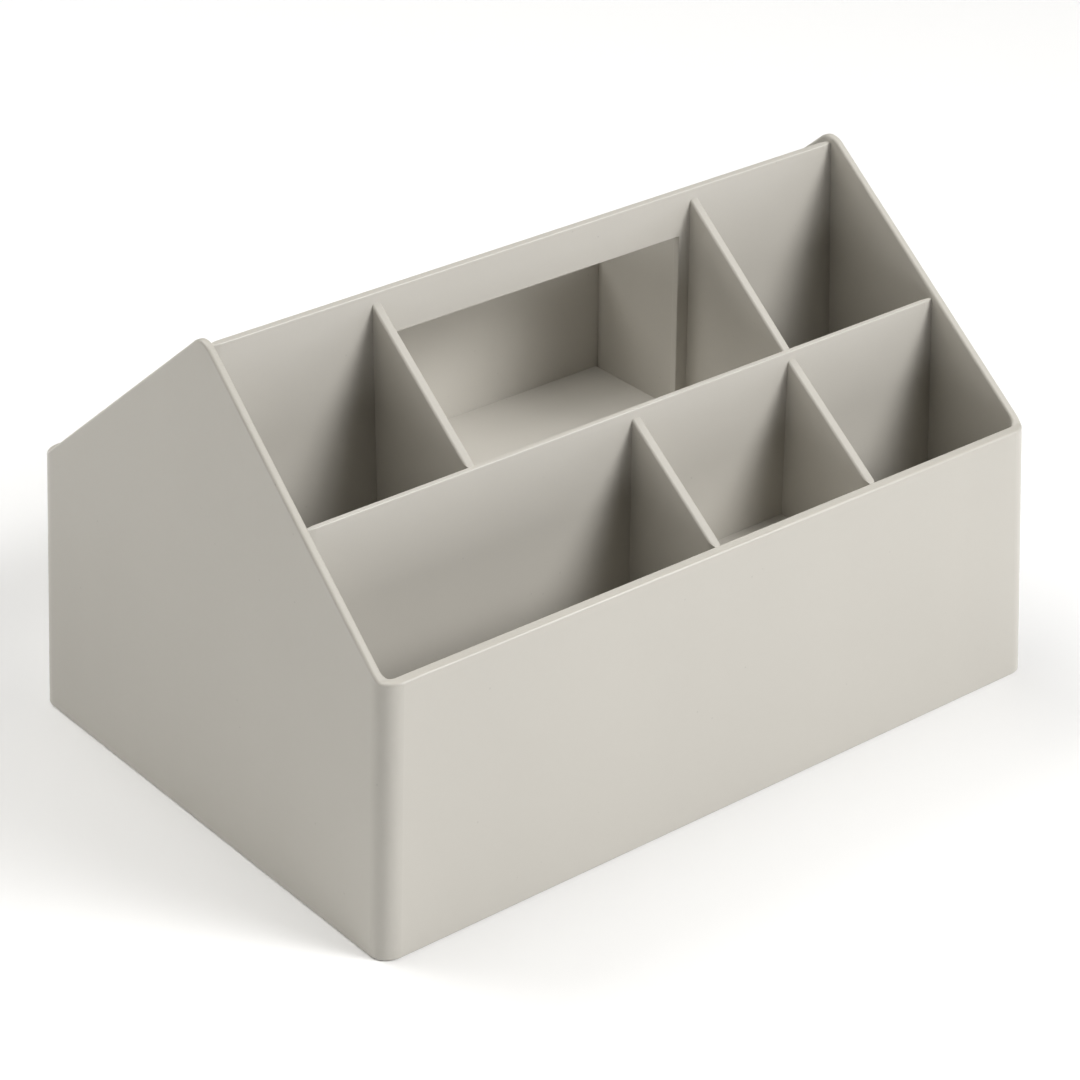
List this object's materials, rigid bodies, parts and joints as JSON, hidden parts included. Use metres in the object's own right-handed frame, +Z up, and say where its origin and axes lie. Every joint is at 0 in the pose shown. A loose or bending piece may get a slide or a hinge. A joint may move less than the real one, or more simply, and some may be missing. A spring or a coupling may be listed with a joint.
{
  "type": "storage caddy",
  "caption": "House-shaped open storage caddy with a hand opening in its ridge wall, compartments on both sides and raised tray floors.",
  "frame": {"origin": "centre of the base, on the plane of the standing ring under the body", "axes": "+Z up, X along the length and the ridge, -Y is the front side seen in the picture"},
  "size_m": [0.32, 0.2266, 0.196],
  "materials": {
    "body_plastic": "satin moulded, warm light grey",
    "insert_plastic": "satin moulded, warm light grey, walls and dividers",
    "floor_plastic": "satin moulded, warm light grey, raised floors"
  },
  "bodies": {
    "root": {"shell": "body_plastic", "centre_panel": "insert_plastic", "front_inner_wall": "insert_plastic", "rear_inner_wall": "insert_plastic", "cross_divider_left": "insert_plastic", "cross_divider_right": "insert_plastic", "front_row_divider_mid": "insert_plastic", "front_row_divider_right": "insert_plastic", "rear_row_divider_mid": "insert_plastic", "rear_row_divider_left": "insert_plastic", "handle_tray_floor": "floor_plastic", "front_tray_floor": "floor_plastic", "rear_tray_floor": "floor_plastic"}
  },
  "joints": []
}
